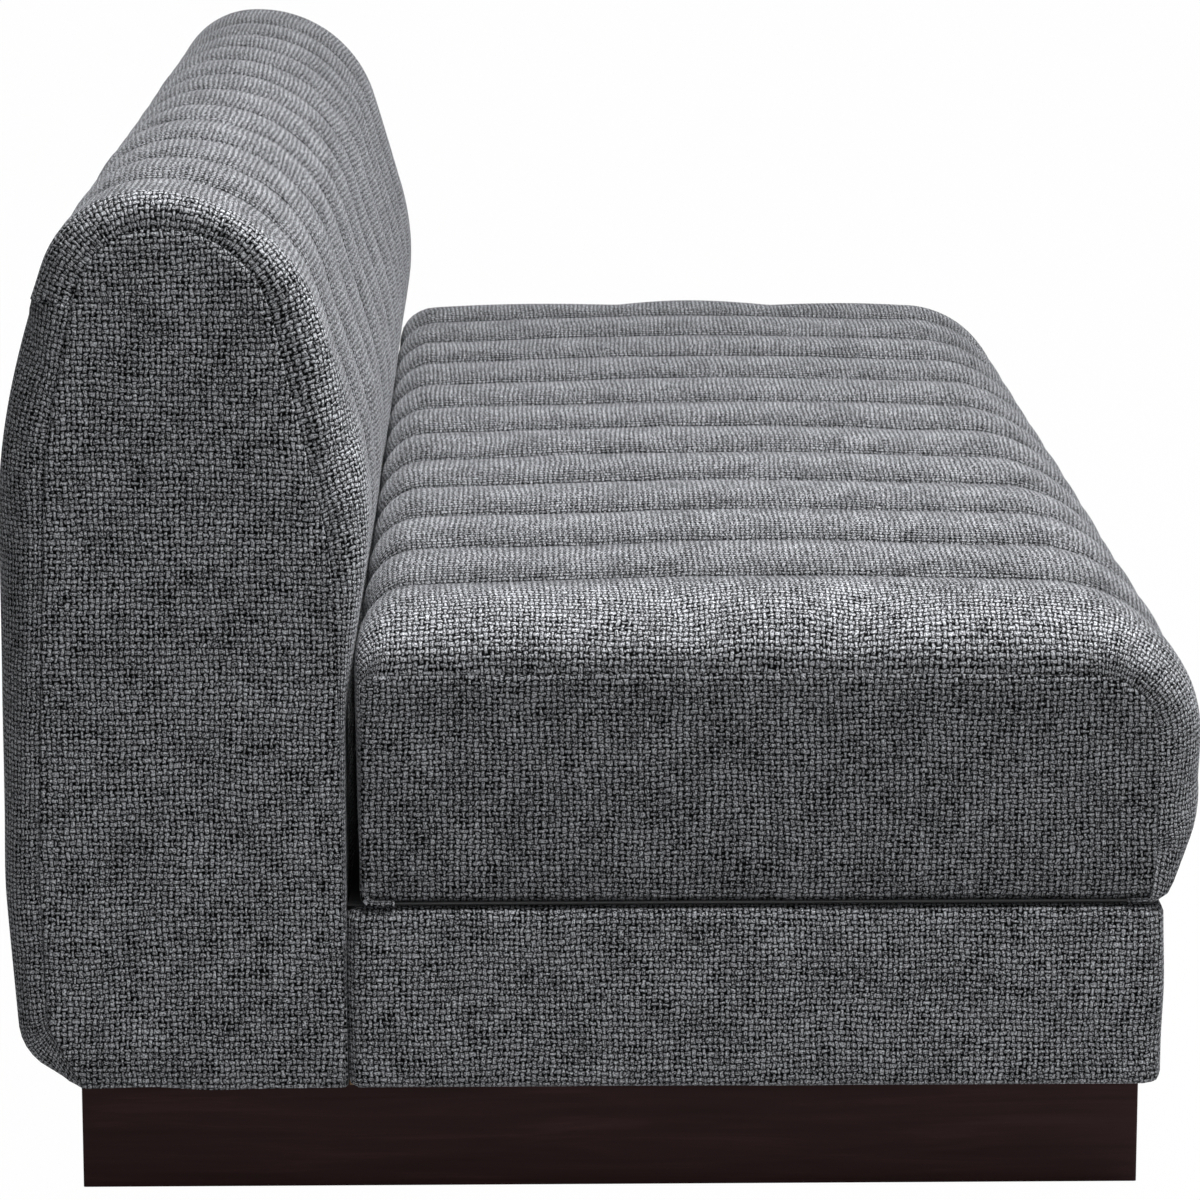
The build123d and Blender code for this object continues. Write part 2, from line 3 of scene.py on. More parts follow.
import bpy
import numpy as np
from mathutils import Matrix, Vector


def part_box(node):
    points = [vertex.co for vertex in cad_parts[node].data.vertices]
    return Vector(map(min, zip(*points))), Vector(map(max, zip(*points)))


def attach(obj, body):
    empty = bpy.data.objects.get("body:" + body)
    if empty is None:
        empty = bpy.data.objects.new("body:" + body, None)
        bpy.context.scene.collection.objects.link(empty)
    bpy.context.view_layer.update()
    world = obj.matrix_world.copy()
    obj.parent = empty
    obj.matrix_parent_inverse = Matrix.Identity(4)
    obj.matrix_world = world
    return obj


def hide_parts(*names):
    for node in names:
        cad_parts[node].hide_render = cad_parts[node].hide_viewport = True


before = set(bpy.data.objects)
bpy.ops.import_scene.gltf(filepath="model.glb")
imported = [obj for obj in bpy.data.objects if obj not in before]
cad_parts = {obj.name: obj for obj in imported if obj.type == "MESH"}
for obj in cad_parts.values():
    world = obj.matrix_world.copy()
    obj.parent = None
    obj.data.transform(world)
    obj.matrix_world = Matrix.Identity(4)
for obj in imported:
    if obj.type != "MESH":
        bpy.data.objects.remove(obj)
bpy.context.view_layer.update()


# Plinth: four boards of stained wood, glued at the corners and screwed up into the base.
# The stain is a brown that is nearly black, with fine grain along each board.
def shader_node(tree, kind, sockets=(), **settings):
    """One shader node: settings are its properties, sockets its inputs, as values or as other outputs."""
    made = tree.nodes.new(kind)
    for name, value in settings.items():
        setattr(made, name, value)
    for name, value in dict(sockets).items():
        if isinstance(value, bpy.types.NodeSocket):
            tree.links.new(value, made.inputs[name])
        else:
            made.inputs[name].default_value = value
    return made


def start_finish(name, constants):
    """A new material whose shader has these constants on its own sockets."""
    finish = bpy.data.materials.new(name)
    finish.use_nodes = True
    shader = finish.node_tree.nodes["Principled BSDF"]
    for socket, value in constants.items():
        shader.inputs[socket].default_value = value
    return finish, finish.node_tree, shader


def colour_steps(tree, amount, steps):
    """A ramp through the given (place, colour) steps, read at the amount."""
    ramp = shader_node(tree, "ShaderNodeValToRGB", {"Fac": amount})
    band = ramp.color_ramp.elements
    while len(band) < len(steps):
        band.new(0.5)
    for element, (place, colour) in zip(band, steps):
        element.position = place
        element.color = (*colour, 1)
    return ramp.outputs["Color"]


def relief(tree, shader, height, depth):
    """Raise and lower the surface's shading by the height, whose full range is depth metres."""
    bump = shader_node(tree, "ShaderNodeBump", {"Height": height, "Distance": depth})
    tree.links.new(bump.outputs["Normal"], shader.inputs["Normal"])


def grained_wood(name, stretch, steps, roughness, depth):
    """Wood with grain: noise drawn out along the board by the stretch, coloured from pore to ridge."""
    finish, tree, shader = start_finish(name, {"Roughness": roughness, "Specular IOR Level": 0.1})
    place = shader_node(tree, "ShaderNodeTexCoord").outputs["Object"]
    drawn = shader_node(tree, "ShaderNodeMapping", {"Vector": place, "Scale": stretch})
    grain = shader_node(
        tree,
        "ShaderNodeTexNoise",
        {"Vector": drawn.outputs[0], "Scale": 1.0, "Detail": 7.0, "Roughness": 0.62, "Distortion": 0.6},
    ).outputs["Fac"]
    tree.links.new(colour_steps(tree, grain, steps), shader.inputs["Base Color"])
    relief(tree, shader, grain, depth)
    return finish


def dress(finish, *nodes):
    """Give the finish to every material slot of these nodes."""
    for node in nodes:
        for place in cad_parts[node].material_slots:
            place.material = finish


espresso = [(0.3, (0.024, 0.0090, 0.0094)), (0.55, (0.037, 0.0146, 0.0150)), (0.75, (0.056, 0.024, 0.0233))]
dress(
    grained_wood("espresso_end_boards", (90, 5, 90), espresso, roughness=0.42, depth=0.0002),
    "plinth_left_board",
    "plinth_right_board",
)
dress(
    grained_wood("espresso_long_boards", (5, 90, 90), espresso, roughness=0.42, depth=0.0002),
    "plinth_front_board",
    "plinth_rear_board",
)


# Inner timber: pale softwood rails, stretchers, braces and glue blocks, and plywood ribs in the back.
# It is sawn and left raw, screwed and glued, and the covers hide it.
pine = [(0.3, (0.30, 0.19, 0.10)), (0.55, (0.46, 0.32, 0.18)), (0.75, (0.58, 0.43, 0.27))]
dress(
    grained_wood("sawn_pine_along_length", (4, 60, 60), pine, roughness=0.75, depth=0.0004),
    "base_front_rail",
    "base_rear_rail",
    "back_lower_front_rail",
    "back_lower_rear_rail",
    "back_top_rail",
)
dress(
    grained_wood("sawn_pine_along_depth", (60, 4, 60), pine, roughness=0.75, depth=0.0004),
    "base_left_rail",
    "base_right_rail",
    "base_stretchers",
    "plinth_braces",
)
dress(
    grained_wood("sawn_pine_upright", (60, 60, 4), pine, roughness=0.75, depth=0.0004),
    "base_corner_blocks",
    "plinth_corner_blocks",
)
birch = [(0.3, (0.45, 0.33, 0.20)), (0.55, (0.56, 0.43, 0.28)), (0.75, (0.64, 0.52, 0.36))]
dress(
    grained_wood("birch_plywood", (240, 30, 6), birch, roughness=0.65, depth=0.0002),
    "back_left_rib",
    "back_right_rib",
    "back_middle_ribs",
)
pressed = [(0.3, (0.16, 0.10, 0.06)), (0.55, (0.23, 0.15, 0.09)), (0.75, (0.30, 0.21, 0.13))]
dress(
    grained_wood("pressed_fibre_board", (70, 70, 70), pressed, roughness=0.8, depth=0.0003),
    "back_rear_board",
)


# Small hardware: drawn steel springs and clips, zinc bolts, washers, tee nuts, screws and inserts,
# and moulded black glides nailed under the plinth blocks.
def speckled(name, steps, scale, depth, roughness, metallic=0.0):
    """A finish mottled by even noise of the given scale, with relief of the given depth in metres."""
    finish, tree, shader = start_finish(name, {"Roughness": roughness, "Metallic": metallic})
    place = shader_node(tree, "ShaderNodeTexCoord").outputs["Object"]
    mottle = shader_node(
        tree, "ShaderNodeTexNoise", {"Vector": place, "Scale": scale, "Detail": 5.0, "Roughness": 0.6}
    ).outputs["Fac"]
    tree.links.new(colour_steps(tree, mottle, steps), shader.inputs["Base Color"])
    relief(tree, shader, mottle, depth)
    return finish


spring_steel = [(0.35, (0.20, 0.19, 0.18)), (0.65, (0.36, 0.35, 0.34))]
dress(
    speckled("drawn_spring_steel", spring_steel, scale=160, depth=0.0001, roughness=0.42, metallic=1.0),
    "seat_springs",
    "front_spring_clips",
    "rear_spring_clips",
)
zinc = [(0.35, (0.50, 0.51, 0.52)), (0.65, (0.68, 0.68, 0.66))]
dress(
    speckled("zinc_plate", zinc, scale=220, depth=0.00005, roughness=0.32, metallic=1.0),
    "back_bolts",
    "bolt_washers",
    "tee_nuts",
    "plinth_screws",
    "joining_inserts",
)
black = [(0.35, (0.010, 0.010, 0.011)), (0.65, (0.022, 0.022, 0.023))]
dress(speckled("moulded_glide", black, scale=900, depth=0.00005, roughness=0.5), "floor_glides")


# Filling: cut foam in the seat and back, a pressed felt pad over the springs and jute straps on the ribs.
# All of it lies inside the covers.
foam = [(0.4, (0.62, 0.55, 0.36)), (0.6, (0.74, 0.68, 0.48))]
dress(
    speckled("cut_foam", foam, scale=700, depth=0.0006, roughness=1.0),
    "seat_foam",
    "back_foam",
    "back_left_pad",
    "back_right_pad",
)
felt = [(0.35, (0.20, 0.20, 0.21)), (0.65, (0.42, 0.41, 0.40))]
dress(speckled("pressed_felt", felt, scale=420, depth=0.0008, roughness=1.0), "deck_felt")
jute = [(0.35, (0.26, 0.18, 0.10)), (0.65, (0.48, 0.36, 0.22))]
dress(speckled("jute_strap", jute, scale=500, depth=0.0006, roughness=0.95), "back_straps")


# Dust cover: a thin black sheet of pressed fibre, stapled flat under the base inside the plinth.
# It hangs down a little between the braces.
def grid_piece(name, points, weave, finish):
    """A sheet on a grid: point [i, j] joins its neighbours in four-sided faces that front rows x columns.

    The weave holds each point's place on the flat cloth in metres, and may hold a third number, from 0 to
    1, for how much painted shade darkens the weave at the point.
    """
    rows, columns = points.shape[:2]
    index = np.arange(rows * columns).reshape(rows, columns)
    corners = [index[:-1, :-1], index[1:, :-1], index[1:, 1:], index[:-1, 1:]]
    faces = np.stack(corners, axis=-1).reshape(-1, 4)
    mesh = bpy.data.meshes.new(name)
    mesh.from_pydata(points.reshape(-1, 3), [], faces)
    cut = mesh.uv_layers.new(name="weave")
    cut.uv.foreach_set("vector", weave[..., :2].reshape(-1, 2)[faces.ravel()].astype(np.float32).ravel())
    # Painted shade: the third number is kept on the points so the material can darken the weave there.
    if weave.shape[-1] == 3:
        painted_shade = mesh.attributes.new("painted_shade", "FLOAT", "POINT")
        painted_shade.data.foreach_set("value", weave[..., 2].astype(np.float32).ravel())
    mesh.polygons.foreach_set("use_smooth", np.ones(len(faces), dtype=bool))
    mesh.materials.append(finish)
    piece = bpy.data.objects.new(name, mesh)
    bpy.context.scene.collection.objects.link(piece)
    return piece


def give_wall(piece, thickness):
    """The cloth's thickness, added on its inner side."""
    wall = piece.modifiers.new("wall", "SOLIDIFY")
    wall.thickness = thickness
    wall.offset = -1


def tight_sheet(low, high, step, sag):
    """A level sheet between two corners, hanging by sag x (1 - a^4)(1 - b^4).

    Both a and b run from -1 to 1 across the sheet, and its points are about step metres apart.
    """
    x = np.linspace(low[0], high[0], round((high[0] - low[0]) / step))
    y = np.linspace(low[1], high[1], round((high[1] - low[1]) / step))
    x, y = np.meshgrid(x, y, indexing="ij")
    a = 2 * (x - low[0]) / (high[0] - low[0]) - 1
    b = 2 * (y - low[1]) / (high[1] - low[1]) - 1
    z = high[2] - sag * (1 - a**4) * (1 - b**4)
    return np.stack([x, y, z], axis=-1), np.stack([x, y], axis=-1)


fibre_black = [(0.35, (0.008, 0.008, 0.009)), (0.65, (0.026, 0.026, 0.028))]
pressed_fibre = speckled("pressed_black_fibre", fibre_black, scale=900, depth=0.0004, roughness=0.9)
low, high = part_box("dust_cover")
under_sheet = grid_piece("dust_cover_sheet", *tight_sheet(low, high, step=0.03, sag=0.0008), pressed_fibre)
give_wall(under_sheet, thickness=0.0006)
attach(under_sheet, "sofa_frame")
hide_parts("dust_cover")


# Deck: plain lining cloth pulled over the felt and stapled to the rails, where the loose cushion lies.
# It is smooth and a little slack in the middle.
lining = [(0.35, (0.030, 0.031, 0.033)), (0.65, (0.060, 0.061, 0.064))]
lining_cloth = speckled("lining_cloth", lining, scale=1100, depth=0.0003, roughness=0.9)
low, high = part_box("deck_cloth")
deck = grid_piece("deck_lining", *tight_sheet(low, high, step=0.02, sag=0.0022), lining_cloth)
give_wall(deck, thickness=0.0008)
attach(deck, "sofa_frame")
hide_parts("deck_cloth")


# Base cover: one padded strip of grey chenille weave, pulled round the left end, the front and the right
# end and turned in over the rails at top and bottom.
def sums(tree, operation, *values):
    """One step of arithmetic in a material, on numbers or on other nodes' outputs."""
    step = tree.nodes.new("ShaderNodeMath")
    step.operation = operation
    for socket, value in zip(step.inputs, values):
        if isinstance(value, bpy.types.NodeSocket):
            tree.links.new(value, socket)
        else:
            socket.default_value = value
    return step.outputs[0]


def moved_by_noise(tree, place, scale, reach):
    """The place shifted by smooth noise, at most half the reach each way."""
    noise = shader_node(tree, "ShaderNodeTexNoise", {"Vector": place, "Scale": scale, "Detail": 1.0})
    centred = shader_node(
        tree,
        "ShaderNodeVectorMath",
        {0: noise.outputs["Color"], 1: (0.5, 0.5, 0.5)},
        operation="SUBTRACT",
    )
    return shader_node(
        tree,
        "ShaderNodeVectorMath",
        {0: centred.outputs[0], 1: (reach, reach, reach), 2: place},
        operation="MULTIPLY_ADD",
    ).outputs[0]


def chenille_weave(name, warp_pitch, weft_pitch):
    """Plain weave of thick fuzzy yarn on the cloth's own flat coordinates.

    Warp yarns stand one pitch apart and weft yarns cross them. Across a yarn the height is a half circle,
    and along it the yarn rises and dives as a cosine, over one crossing and under the next; the higher of
    the two yarns shows. Where the two are nearly level one slips under the other, and that edge and the
    open holes between them are painted near black as shade. Each yarn darkens towards its sides as painted
    shade that follows its height. Each float has its own tone, and short fibres lighten it in specks.
    Where a number kept on the points says so, beside the sewn lines or over a whole panel, painted shade
    darkens it all.
    """
    thinnest, swelling = 0.10, 0.56
    wave_height, wave_middle = 0.42, 0.58
    fibre_gain, fibre_start = 2.4, -1.12
    # Painted shade: the last number on the next line is the share of light that full shade beside the sewn
    # lines takes away.
    float_gain, patch_gain, painted_shade_strength = 0.18, 0.40, 0.62
    # Painted shade: the middle number on the next line is the power by which each yarn darkens towards its
    # sides.
    darkest, yarn_side_shade_power, fuzz = 0.02, 0.6, 0.25
    finish, tree, shader = start_finish(
        name,
        {
            "Roughness": 0.95,
            "Specular IOR Level": 0.03,
            "Sheen Weight": 0.34,
            "Sheen Roughness": 0.16,
            "Sheen Tint": (0.93, 0.95, 1.0, 1),
        },
    )
    flat = shader_node(tree, "ShaderNodeUVMap", uv_map="weave").outputs[0]
    place = moved_by_noise(tree, flat, scale=11.0, reach=0.009)
    place = moved_by_noise(tree, place, scale=120.0, reach=0.0036)
    split = shader_node(tree, "ShaderNodeSeparateXYZ", {0: place})
    along_weft = sums(tree, "DIVIDE", split.outputs[0], warp_pitch)
    along_warp = sums(tree, "DIVIDE", split.outputs[1], weft_pitch)
    warp = sums(tree, "ROUND", along_weft)
    weft = sums(tree, "ROUND", along_warp)
    plump = shader_node(tree, "ShaderNodeTexNoise", {"Vector": flat, "Scale": 90.0, "Detail": 0.0})
    plump = shader_node(tree, "ShaderNodeSeparateXYZ", {0: plump.outputs["Color"]})

    def yarn(own, own_line, other, turn, swell):
        """Height of one yarn set, and the number of the float along its yarn."""
        half = sums(tree, "MULTIPLY_ADD", swell, swelling, thinnest)
        aside = sums(tree, "DIVIDE", sums(tree, "SUBTRACT", own, own_line), half)
        crown = sums(tree, "SUBTRACT", 1.0, sums(tree, "MULTIPLY", aside, aside))
        crown = sums(tree, "SQRT", sums(tree, "MAXIMUM", crown, 0.0))
        phase = sums(tree, "ADD", sums(tree, "ADD", other, own_line), turn)
        wave = sums(tree, "COSINE", sums(tree, "MULTIPLY", phase, math.pi))
        level = sums(tree, "MULTIPLY_ADD", wave, wave_height, wave_middle)
        return sums(tree, "MULTIPLY", crown, level), sums(tree, "ROUND", sums(tree, "MULTIPLY", phase, 0.5))

    warp_height, warp_float = yarn(along_weft, warp, along_warp, 0.0, plump.outputs[0])
    weft_height, weft_float = yarn(along_warp, weft, along_weft, 1.0, plump.outputs[1])
    height = sums(tree, "MAXIMUM", warp_height, weft_height)
    apart = sums(tree, "ABSOLUTE", sums(tree, "SUBTRACT", warp_height, weft_height))
    # Painted shade: cover falls to 0 in the open holes and where one yarn slips under the other, so these
    # take the ramp's near-black first colour.
    cover = shader_node(
        tree,
        "ShaderNodeMapRange",
        {"Value": apart, "From Min": 0.18, "From Max": 0.64},
        interpolation_type="SMOOTHSTEP",
    ).outputs[0]
    warp_shows = sums(tree, "GREATER_THAN", warp_height, weft_height)
    weft_mark = sums(tree, "ADD", weft, 0.5)
    lines_apart = sums(tree, "SUBTRACT", warp, weft_mark)
    line = sums(tree, "MULTIPLY_ADD", warp_shows, lines_apart, weft_mark)
    floats_apart = sums(tree, "SUBTRACT", warp_float, weft_float)
    number = sums(tree, "MULTIPLY_ADD", warp_shows, floats_apart, weft_float)
    one_float = shader_node(tree, "ShaderNodeCombineXYZ", {0: line, 1: number})
    tone = shader_node(tree, "ShaderNodeTexWhiteNoise", {"Vector": one_float.outputs[0]}).outputs["Value"]
    fibre = shader_node(
        tree, "ShaderNodeTexNoise", {"Vector": flat, "Scale": 700.0, "Detail": 1.0, "Roughness": 0.7}
    ).outputs["Fac"]
    patch = shader_node(
        tree, "ShaderNodeTexNoise", {"Vector": flat, "Scale": 24.0, "Detail": 3.0}
    ).outputs["Fac"]
    # Painted shade kept on the points, beside the sewn lines or over a whole panel.
    painted_shade = shader_node(tree, "ShaderNodeAttribute", attribute_name="painted_shade").outputs["Fac"]
    specks = sums(tree, "MULTIPLY_ADD", fibre, fibre_gain, fibre_start)
    light = sums(tree, "MULTIPLY_ADD", tone, float_gain, specks)
    light = sums(tree, "MULTIPLY_ADD", patch, patch_gain, light)
    # Painted shade: the light is darker by its share where the stored shade is full.
    light = sums(tree, "MULTIPLY", light, sums(tree, "MULTIPLY_ADD", painted_shade, -painted_shade_strength, 1.0))
    light = sums(tree, "MAXIMUM", light, darkest)
    # Painted shade: each yarn darkens towards its sides with its height.
    rounded = sums(tree, "POWER", height, yarn_side_shade_power)
    shade = sums(tree, "MULTIPLY", sums(tree, "MULTIPLY", cover, light), rounded)
    # The first colour, near black, is the painted shade of the holes and the slipping edges.
    grey = [(0.0, (0.0030, 0.0031, 0.0034)), (1.0, (0.93, 0.95, 1.0))]
    tree.links.new(colour_steps(tree, shade, grey), shader.inputs["Base Color"])
    relief(tree, shader, sums(tree, "MULTIPLY_ADD", fibre, fuzz, height), depth=0.0012)
    return finish


def rounded_line(corners, run, turn):
    """Straight runs joined by tangent arcs, through corners given as (a, b, radius).

    Every run has the same number of points, and so has every arc, so two lines with as many corners match.
    """
    corners = np.array(corners, dtype=float)
    points, radius = corners[:, :2], corners[:, 2]
    way = np.diff(points, axis=0)
    way /= np.linalg.norm(way, axis=1, keepdims=True)
    stretch = np.linspace(0, 1, run, endpoint=False)[:, None]
    pieces = []
    start = points[0]
    for k in range(1, len(points) - 1):
        before, after = way[k - 1], way[k]
        bend = math.atan2(before[0] * after[1] - before[1] * after[0], before @ after)
        reach = radius[k] * math.tan(abs(bend) / 2)
        begin = points[k] - before * reach
        inward = math.copysign(1, bend) * np.array([-before[1], before[0]])
        angle = np.linspace(0, abs(bend), turn, endpoint=False)[:, None]
        pieces.append(start + (begin - start) * stretch)
        pieces.append(begin + radius[k] * ((1 - np.cos(angle)) * inward + np.sin(angle) * before))
        start = points[k] + after * reach
    pieces.append(start + (points[-1] - start) * stretch)
    return np.concatenate([*pieces, points[-1:]])


def walked(line):
    """Distance walked along a line of points, from zero at its start."""
    return np.concatenate([[0.0], np.cumsum(np.linalg.norm(np.diff(line, axis=0), axis=1))])


def even_steps(step, line, *partners):
    """Distances walked along a line in even steps, then the line and its partners at those steps."""
    walk = walked(line)
    at = np.linspace(0, walk[-1], round(walk[-1] / step) + 1)
    lines = (line, *partners)
    spaced = [np.stack([np.interp(at, walk, one[:, k]) for k in (0, 1)], axis=1) for one in lines]
    return at, *spaced


def left_hand(line):
    """Unit vectors square to the line, on its left."""
    way = np.gradient(line, axis=0)
    way /= np.linalg.norm(way, axis=1, keepdims=True)
    return np.stack([-way[:, 1], way[:, 0]], axis=1)


def rumple(a, b, seed):
    """Smooth random heights from -1 to 1: a unit lattice of random values, blended by 3t^2 - 2t^3."""
    lattice = np.random.default_rng(seed).uniform(-1, 1, (128, 128))
    a, b = np.broadcast_arrays(a, b)
    i, j = np.floor(a).astype(int), np.floor(b).astype(int)
    s, t = a - i, b - j
    s, t = s * s * (3 - 2 * s), t * t * (3 - 2 * t)
    near = lattice[i % 128, j % 128] * (1 - s) + lattice[(i + 1) % 128, j % 128] * s
    far = lattice[i % 128, (j + 1) % 128] * (1 - s) + lattice[(i + 1) % 128, (j + 1) % 128] * s
    return near * (1 - t) + far * t


chenille = chenille_weave("grey_chenille", warp_pitch=0.0044, weft_pitch=0.0050)
base_low, base_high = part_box("base_left_cover")
end = -base_low[0]
base_front, base_rear = base_low[1], base_high[1]
base_bottom, base_top = base_low[2], base_high[2]
cover_wall = 0.002
tuck, rear_lap, foot_lap, top_clear = 0.020, 0.001, 0.0014, 0.0008
belly, unevenness = 0.0012, 0.0009
at, plan = even_steps(
    0.012,
    rounded_line(
        [
            (-end + tuck, base_rear + rear_lap, 0),
            (-end, base_rear + rear_lap, 0.004),
            (-end, base_front, 0.016),
            (end, base_front, 0.016),
            (end, base_rear + rear_lap, 0.004),
            (end - tuck, base_rear + rear_lap, 0),
        ],
        run=60,
        turn=12,
    ),
)
rise, strip = even_steps(
    0.005,
    rounded_line(
        [
            (-tuck, base_bottom - foot_lap, 0),
            (0, base_bottom - foot_lap, 0.006),
            (belly, (base_bottom + base_top) / 2, 0.6),
            (0, base_top - top_clear, 0.011),
            (-tuck, base_top - top_clear, 0),
        ],
        run=20,
        turn=10,
    ),
)
outward = -left_hand(plan)
hang = strip[None, :, 0] + unevenness * rumple(at[:, None] / 0.09, rise[None, :] / 0.05, seed=3)
points = np.concatenate(
    [
        plan[:, None, :] + outward[:, None, :] * hang[..., None],
        np.broadcast_to(strip[None, :, 1:], (*hang.shape, 1)),
    ],
    axis=-1,
)
cloth = np.stack(np.broadcast_arrays(at[:, None], rise[None, :]), axis=-1)
base_strip = grid_piece("base_wrap", points, cloth, chenille)
give_wall(base_strip, cover_wall)
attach(base_strip, "sofa_frame")
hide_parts("base_left_cover", "base_front_cover", "base_right_cover")


# Back cover: the front and crest of the back in twelve sewn channels of the same weave over foam.
# It rolls over each end to the seam of the end panel, and a cross seam behind the crest ends it.
rear_face = 0.4605
channel_count = 12
channel = 2 * end / channel_count
channel_seams = -end + channel * np.arange(1, channel_count)
seam_dip = 0.0020


def side_line(*corners):
    """A side profile from corners in millimetres: forward of the rear face, height, radius."""
    corners = np.array(corners, dtype=float) / 1000
    corners[:, 0] = rear_face - corners[:, 0]
    return rounded_line(corners, run=40, turn=24)


def quilted_cover(crown_line, seam_line, roll, seams, plump, groove, pinch, step, seed):
    """A cover carried along a side profile, with channels across its length and a roll at each end.

    Across the length a channel is half an oval: it stands plump metres out at its middle and is groove
    metres lower at each sewn line, where the thread draws in a narrow crease pinch metres deep. At the
    ends the cover turns down a quarter of an oval from the crown's profile to the end seam, which lies
    seam_dip metres in; the oval is roll metres wide where those two are furthest apart and narrower
    elsewhere. Small puckers ride beside the sewn lines, slack lies between them, and the channels die out
    towards the first and last rows.
    Returns the points, their places on the flat cloth with the painted shade beside the sewn lines, and the
    end seam.
    """
    columns, crowding = 20 if len(seams) else 90, 0.6
    roll_columns, first_swing, narrowest = 26, 0.02, 0.15
    pucker_height, ending_height, slack_height = 0.0008, 0.0016, 0.0013
    crease_width, dip_width, fading, fold = 0.0045, 0.004, 0.06, 0.012
    seam_shade_per_metre = 60
    at, crown, seam = even_steps(step, crown_line, seam_line)
    knots = np.concatenate([[-end + roll], seams, [end - roll]])
    share = np.linspace(0, 1, columns, endpoint=False)
    share = share - crowding * np.sin(2 * np.pi * share) / (2 * np.pi)
    middle = (knots[:-1, None] + np.diff(knots)[:, None] * share).ravel()[1:]
    swing = np.linspace(math.pi / 2, 0, roll_columns)
    swing = np.insert(swing, 1, swing[0] - first_swing)
    reach = end - roll * (1 - np.sin(swing))
    x = np.concatenate([-reach, middle, reach[::-1]])
    apart = np.linalg.norm(seam - crown, axis=1)
    width = roll * np.clip(apart / apart.max(), narrowest, 1)
    turned = 1 - np.sqrt(1 - np.clip(1 - (end - np.abs(x)) / width[:, None], 0, 1) ** 2)
    gap = np.abs(x[:, None] - seams).min(axis=1) if len(seams) else np.full_like(x, channel)
    aside = np.clip(1 - gap / (channel / 2), 0, 1)
    sink = groove * (1 - np.sqrt(1 - aside**2)) + pinch * np.exp(-((gap / crease_width) ** 2))
    pucker = pucker_height * np.exp(-gap / 0.020) * rumple(at[:, None] / 0.021, x[None, :] / 0.05, seed)
    ending = ending_height * turned**2 * (1 - turned) * 4
    ending = ending * rumple(at[:, None] / 0.03, x[None, :] / 0.02, seed + 1)
    slack = slack_height * rumple(at[:, None] / 0.10, x[None, :] / 0.12, seed + 2)
    slack = slack * (1 - turned) * np.clip(gap / 0.04, 0, 1)
    outward = left_hand(crown)
    way = np.sign(outward[0] @ (crown[0] - crown.mean(axis=0)))
    run = np.minimum(at, at[-1] - at)[:, None]
    full = 1 - np.exp(-((run / fading) ** 2))
    lift = (plump * (1 - turned) - sink) * full + pucker + ending + slack
    level = crown[:, None] + (seam - crown)[:, None] * turned[..., None]
    onward = ((seam - crown) * np.stack([outward[:, 1], -outward[:, 0]], axis=1)).sum(axis=1)
    flat_y = at[:, None] + onward[:, None] * turned
    level = level + way * outward[:, None] * lift[..., None]
    x = x - np.sign(x) * seam_dip * np.clip(1 - (end - np.abs(x)) / dip_width, 0, 1) ** 2
    points = np.concatenate([np.broadcast_to(x[None, :, None], (*lift.shape, 1)), level], axis=-1)
    flat_x = np.linalg.norm(np.diff(points, axis=1), axis=2).mean(axis=0).cumsum()
    flat_x = np.concatenate([[0.0], flat_x]) - flat_x[-1] / 2
    inside = np.array([fold, 0, 0])
    points = np.concatenate([points[:, :1] + inside, points, points[:, -1:] - inside], axis=1)
    flat_x = np.concatenate([flat_x[:1] - fold, flat_x, flat_x[-1:] + fold])
    flat_y = np.concatenate([flat_y[:, :1], flat_y, flat_y[:, -1:]], axis=1)
    # Painted shade beside each sewn line: full at the seam, none at the channel's middle, fading with the
    # channels at the ends.
    painted_shade = np.pad(seam_shade_per_metre * groove * aside**1.5 * full, ((0, 0), (1, 1)))
    cloth = np.stack(np.broadcast_arrays(flat_y, flat_x[None, :], painted_shade), axis=-1)
    if way > 0:
        points, cloth = points[:, ::-1], cloth[:, ::-1]
    return points, cloth, seam


def turned_in(points, cloth, last, depth):
    """Fold the last row of a cover, or else its first, in at a cross seam, square to the surface."""
    order = slice(None) if last else slice(None, None, -1)
    inward = -1 if last else 1
    points, cloth = points[order], cloth[order]
    row, next_row = points[-1], points[-2]
    down = np.cross(row - next_row, np.gradient(row, axis=0))
    down *= depth / np.linalg.norm(down, axis=1, keepdims=True)
    edge = row + 0.1 * (next_row - row)
    edge_cloth = 0.9 * cloth[-1] + 0.1 * cloth[-2]
    fold_cloth = cloth[-1] - inward * np.array([depth, 0, 0])
    points = np.concatenate([points[:-1], [edge, row, row + inward * down]])
    cloth = np.concatenate([cloth[:-1], [edge_cloth, cloth[-1], fold_cloth]])
    return points[order], cloth[order]


back_crown = side_line(
    (260, 91, 0), (261, 384, 300), (286, 550, 265), (216, 781, 126), (60, 781, 84), (30.8, 702, 0)
)
back_edge = side_line(
    (262.5, 91, 0), (260, 361, 300), (255, 511, 350), (197, 758, 85), (80, 758, 62), (63, 702, 0)
)
points, cloth, back_seam = quilted_cover(
    back_crown,
    back_edge,
    roll=0.058,
    seams=channel_seams,
    plump=0.004,
    groove=0.0125,
    pinch=0.001,
    step=0.0085,
    seed=11,
)
points, cloth = turned_in(points, cloth, last=True, depth=0.008)
back_quilt = grid_piece("back_channels", points, cloth, chenille)
give_wall(back_quilt, cover_wall)
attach(back_quilt, "sofa_frame")
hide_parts("back_channel_cover")


